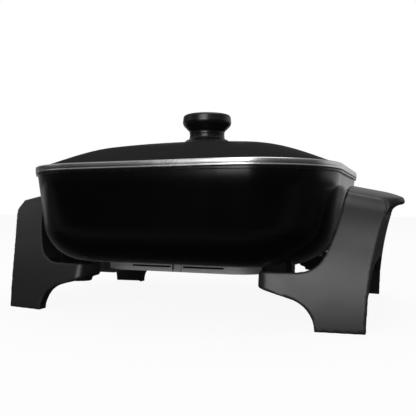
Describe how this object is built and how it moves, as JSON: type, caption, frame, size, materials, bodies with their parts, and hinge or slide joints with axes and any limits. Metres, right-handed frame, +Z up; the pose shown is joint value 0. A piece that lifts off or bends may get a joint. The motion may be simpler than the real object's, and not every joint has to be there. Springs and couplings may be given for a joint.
{
  "type": "electric skillet",
  "caption": "Square electric skillet: a cast non-stick pan on two moulded leg-and-handle ends, with a heating element, a probe socket and a lift-off domed lid with a knob.",
  "frame": {"origin": "on the table under the middle of the pan", "axes": "+Z up; +X along the long way from the left handle to the right handle; the front faces -Y; the probe socket opens towards -X, under the left handle"},
  "size_m": [0.4078, 0.306, 0.2039],
  "materials": {
    "pan_coating": "gloss black non-stick coating on cast aluminium",
    "ring_alloy": "matt cast aluminium",
    "small_steel": "zinc-plated steel",
    "element_sheath": "dark oxidised steel sheath",
    "pin_plating": "nickel-plated",
    "ceramic": "glazed ceramic",
    "guard_paint": "black painted sheet steel",
    "handle_plastic": "satin charcoal moulded phenolic",
    "lid_coating": "satin dark grey on aluminium sheet",
    "band_plating": "polished stainless steel",
    "knob_plastic": "gloss black phenolic",
    "insert_brass": "plain brass"
  },
  "bodies": {
    "base": {"pan": "pan_coating", "heat_ring": "ring_alloy", "ring_screws": "small_steel", "heating_element": "element_sheath", "element_clips": "small_steel", "clip_screws": "small_steel", "terminal_pins": "pin_plating", "terminal_insulators": "ceramic", "probe_guard": "guard_paint", "guard_screws": "small_steel", "left_handle": "handle_plastic", "right_handle": "handle_plastic", "handle_screws": "small_steel", "handle_washers": "small_steel"},
    "lid": {"lid_dome": "lid_coating", "lid_band": "band_plating", "knob": "knob_plastic", "knob_collar": "knob_plastic", "knob_insert": "insert_brass", "knob_screw": "small_steel", "knob_washer": "small_steel"}
  },
  "joints": [
    {"name": "lid_lift", "type": "slide", "parent": "base", "child": "lid", "axis": [0, 0, 1], "range_m": [0, 0.12]}
  ]
}
